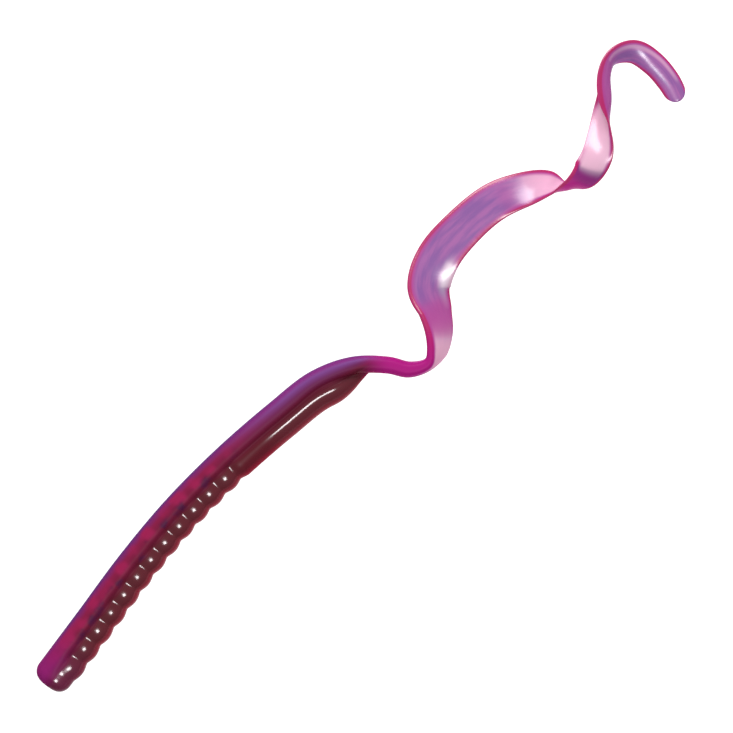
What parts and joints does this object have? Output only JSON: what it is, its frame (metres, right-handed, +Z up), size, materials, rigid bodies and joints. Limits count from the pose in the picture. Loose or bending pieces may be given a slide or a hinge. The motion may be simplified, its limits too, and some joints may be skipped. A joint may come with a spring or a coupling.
{
  "type": "soft plastic worm",
  "caption": "Soft translucent worm lure: ringed round body with a flat back strip that runs on as a long twisted ribbon tail, flexible along its whole length.",
  "frame": {"origin": "centre of the worm's box, on the surface that it lies on", "axes": "+X from the nose to the tail tip, +Y towards the side of the smooth back, +Z up from the surface"},
  "size_m": [0.1892, 0.0258, 0.0091],
  "materials": {
    "nose_plastic": "soft translucent vinyl, wet gloss, magenta at the blunt nose",
    "body_plastic": "soft translucent vinyl, wet gloss, dark wine where it is thick",
    "ribbon_plastic": "soft translucent vinyl, wet gloss, lilac where it is thin with magenta rims"
  },
  "bodies": {
    "nose": {"nose": "nose_plastic"},
    "ring_01": {"ring_01": "body_plastic"},
    "ring_02": {"ring_02": "body_plastic"},
    "ring_03": {"ring_03": "body_plastic"},
    "ring_04": {"ring_04": "body_plastic"},
    "ring_05": {"ring_05": "body_plastic"},
    "ring_06": {"ring_06": "body_plastic"},
    "ring_07": {"ring_07": "body_plastic"},
    "ring_08": {"ring_08": "body_plastic"},
    "ring_09": {"ring_09": "body_plastic"},
    "ring_10": {"ring_10": "body_plastic"},
    "ring_11": {"ring_11": "body_plastic"},
    "ring_12": {"ring_12": "body_plastic"},
    "rear_body_01": {"rear_body_01": "body_plastic"},
    "rear_body_02": {"rear_body_02": "body_plastic"},
    "rear_body_03": {"rear_body_03": "body_plastic"},
    "rear_body_04": {"rear_body_04": "body_plastic"},
    "ribbon_01": {"ribbon_01": "ribbon_plastic"},
    "ribbon_02": {"ribbon_02": "ribbon_plastic"},
    "ribbon_03": {"ribbon_03": "ribbon_plastic"},
    "ribbon_04": {"ribbon_04": "ribbon_plastic"},
    "ribbon_05": {"ribbon_05": "ribbon_plastic"},
    "ribbon_06": {"ribbon_06": "ribbon_plastic"},
    "ribbon_07": {"ribbon_07": "ribbon_plastic"},
    "ribbon_08": {"ribbon_08": "ribbon_plastic"},
    "ribbon_09": {"ribbon_09": "ribbon_plastic"},
    "ribbon_10": {"ribbon_10": "ribbon_plastic"},
    "ribbon_11": {"ribbon_11": "ribbon_plastic"}
  },
  "joints": [
    {"name": "ring_01_flex", "type": "hinge", "parent": "nose", "child": "ring_01", "pos_m": [-0.09039, -0.00664, 0.00441], "axis": [0, 0, 1], "range_deg": [-9, 9], "stiffness_Nm_per_rad": 0.012},
    {"name": "ring_02_flex", "type": "hinge", "parent": "ring_01", "child": "ring_02", "pos_m": [-0.08567, -0.00573, 0.00441], "axis": [0, 0, 1], "range_deg": [-9, 9], "stiffness_Nm_per_rad": 0.012},
    {"name": "ring_03_flex", "type": "hinge", "parent": "ring_02", "child": "ring_03", "pos_m": [-0.08096, -0.00481, 0.00441], "axis": [0, 0, 1], "range_deg": [-9, 9], "stiffness_Nm_per_rad": 0.012},
    {"name": "ring_04_flex", "type": "hinge", "parent": "ring_03", "child": "ring_04", "pos_m": [-0.07622, -0.00387, 0.00441], "axis": [0, 0, 1], "range_deg": [-9, 9], "stiffness_Nm_per_rad": 0.012},
    {"name": "ring_05_flex", "type": "hinge", "parent": "ring_04", "child": "ring_05", "pos_m": [-0.07151, -0.00289, 0.00441], "axis": [0, 0, 1], "range_deg": [-9, 9], "stiffness_Nm_per_rad": 0.012},
    {"name": "ring_06_flex", "type": "hinge", "parent": "ring_05", "child": "ring_06", "pos_m": [-0.06685, -0.00194, 0.00441], "axis": [0, 0, 1], "range_deg": [-9, 9], "stiffness_Nm_per_rad": 0.012},
    {"name": "ring_07_flex", "type": "hinge", "parent": "ring_06", "child": "ring_07", "pos_m": [-0.06219, -0.00111, 0.00441], "axis": [0, 0, 1], "range_deg": [-9, 9], "stiffness_Nm_per_rad": 0.012},
    {"name": "ring_08_flex", "type": "hinge", "parent": "ring_07", "child": "ring_08", "pos_m": [-0.05749, -0.00036, 0.00441], "axis": [0, 0, 1], "range_deg": [-9, 9], "stiffness_Nm_per_rad": 0.012},
    {"name": "ring_09_flex", "type": "hinge", "parent": "ring_08", "child": "ring_09", "pos_m": [-0.0528, 0.0003, 0.00441], "axis": [0, 0, 1], "range_deg": [-9, 9], "stiffness_Nm_per_rad": 0.012},
    {"name": "ring_10_flex", "type": "hinge", "parent": "ring_09", "child": "ring_10", "pos_m": [-0.04811, 0.00081, 0.00441], "axis": [0, 0, 1], "range_deg": [-9, 9], "stiffness_Nm_per_rad": 0.012},
    {"name": "ring_11_flex", "type": "hinge", "parent": "ring_10", "child": "ring_11", "pos_m": [-0.0434, 0.00118, 0.00441], "axis": [0, 0, 1], "range_deg": [-9, 9], "stiffness_Nm_per_rad": 0.012},
    {"name": "ring_12_flex", "type": "hinge", "parent": "ring_11", "child": "ring_12", "pos_m": [-0.03867, 0.00142, 0.00441], "axis": [0, 0, 1], "range_deg": [-9, 9], "stiffness_Nm_per_rad": 0.012},
    {"name": "rear_body_01_flex", "type": "hinge", "parent": "ring_12", "child": "rear_body_01", "pos_m": [-0.03393, 0.00156, 0.00441], "axis": [0, 0, 1], "range_deg": [-9, 9], "stiffness_Nm_per_rad": 0.01},
    {"name": "rear_body_02_flex", "type": "hinge", "parent": "rear_body_01", "child": "rear_body_02", "pos_m": [-0.02445, 0.00148, 0.00441], "axis": [0, 0, 1], "range_deg": [-9, 9], "stiffness_Nm_per_rad": 0.01},
    {"name": "rear_body_03_flex", "type": "hinge", "parent": "rear_body_02", "child": "rear_body_03", "pos_m": [-0.01488, 0.00111, 0.00441], "axis": [0, 0, 1], "range_deg": [-9, 9], "stiffness_Nm_per_rad": 0.01},
    {"name": "rear_body_04_flex", "type": "hinge", "parent": "rear_body_03", "child": "rear_body_04", "pos_m": [-0.0062, -0.00023, 0.00441], "axis": [0, 0, 1], "range_deg": [-9, 9], "stiffness_Nm_per_rad": 0.01},
    {"name": "ribbon_01_flex", "type": "hinge", "parent": "rear_body_04", "child": "ribbon_01", "pos_m": [0.00291, -0.00254, 0.00441], "axis": [0, 0, 1], "range_deg": [-7, 7], "stiffness_Nm_per_rad": 0.008},
    {"name": "ribbon_02_flex", "type": "hinge", "parent": "ribbon_01", "child": "ribbon_02", "pos_m": [0.01046, -0.01047, 0.00445], "axis": [-0.0115, 0.0213, 0.9997], "range_deg": [-7, 7], "stiffness_Nm_per_rad": 0.006},
    {"name": "ribbon_03_flex", "type": "hinge", "parent": "ribbon_02", "child": "ribbon_03", "pos_m": [0.01953, -0.00636, 0.00498], "axis": [-0.5676, 0.3256, 0.7562], "range_deg": [-14, 14], "stiffness_Nm_per_rad": 0.004},
    {"name": "ribbon_04_flex", "type": "hinge", "parent": "ribbon_03", "child": "ribbon_04", "pos_m": [0.02554, 0.00267, 0.00537], "axis": [-0.5187, 0.8416, 0.1506], "range_deg": [-18, 18], "stiffness_Nm_per_rad": 0.003},
    {"name": "ribbon_05_flex", "type": "hinge", "parent": "ribbon_04", "child": "ribbon_05", "pos_m": [0.03611, 0.0055, 0.00543], "axis": [-0.0627, 0.998, -0.0005], "range_deg": [-18, 18], "stiffness_Nm_per_rad": 0.002},
    {"name": "ribbon_06_flex", "type": "hinge", "parent": "ribbon_05", "child": "ribbon_06", "pos_m": [0.0471, 0.00495, 0.00508], "axis": [0.2489, 0.9668, -0.0586], "range_deg": [-18, 18], "stiffness_Nm_per_rad": 0.0015},
    {"name": "ribbon_07_flex", "type": "hinge", "parent": "ribbon_06", "child": "ribbon_07", "pos_m": [0.05711, 0.00034, 0.00463], "axis": [0.3831, 0.6255, -0.6797], "range_deg": [-18, 18], "stiffness_Nm_per_rad": 0.0015},
    {"name": "ribbon_08_flex", "type": "hinge", "parent": "ribbon_07", "child": "ribbon_08", "pos_m": [0.06698, -0.00318, 0.00417], "axis": [0.2377, -0.9278, -0.2876], "range_deg": [-18, 18], "stiffness_Nm_per_rad": 0.0015},
    {"name": "ribbon_09_flex", "type": "hinge", "parent": "ribbon_08", "child": "ribbon_09", "pos_m": [0.07564, 0.00343, 0.00349], "axis": [0.3161, -0.2492, 0.9154], "range_deg": [-14, 14], "stiffness_Nm_per_rad": 0.0015},
    {"name": "ribbon_10_flex", "type": "hinge", "parent": "ribbon_09", "child": "ribbon_10", "pos_m": [0.08385, 0.01066, 0.00311], "axis": [-0.0838, 0.3799, 0.9212], "range_deg": [-18, 18], "stiffness_Nm_per_rad": 0.0015},
    {"name": "ribbon_11_flex", "type": "hinge", "parent": "ribbon_10", "child": "ribbon_11", "pos_m": [0.09164, 0.00531, 0.00173], "axis": [0.9795, 0.1801, 0.0901], "range_deg": [-18, 18], "stiffness_Nm_per_rad": 0.0015}
  ]
}
